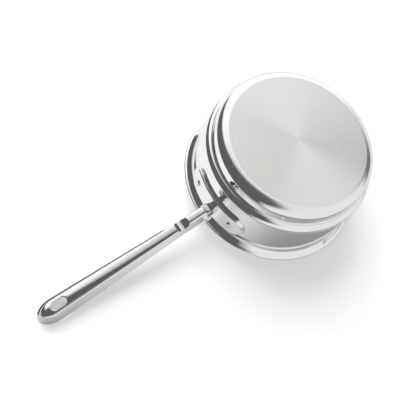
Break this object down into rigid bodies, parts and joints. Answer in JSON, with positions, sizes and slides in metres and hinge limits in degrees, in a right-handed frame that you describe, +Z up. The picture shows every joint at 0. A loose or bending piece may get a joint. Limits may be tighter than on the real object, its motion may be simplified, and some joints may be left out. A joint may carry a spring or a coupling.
{
  "type": "double boiler upper pan",
  "caption": "Upper pan of a double boiler: a stepped pan of spun stainless steel with a riveted cast stick handle",
  "frame": {"origin": "centre of the flat underside of the base, on the pan's axis", "axes": "+X from the pan's axis towards the handle, +Z up from the base to the rim, +Y to the left for someone who looks along +X"},
  "size_m": [0.4118, 0.2076, 0.1339],
  "materials": {
    "polished_steel": "mirror-polished stainless wall, base brushed in circles",
    "cast_steel": "polished stainless casting",
    "rivet_steel": "plain stainless, slightly dull"
  },
  "bodies": {
    "root": {"pan": "polished_steel", "handle": "cast_steel", "rivet_left": "rivet_steel", "rivet_right": "rivet_steel"}
  },
  "joints": []
}
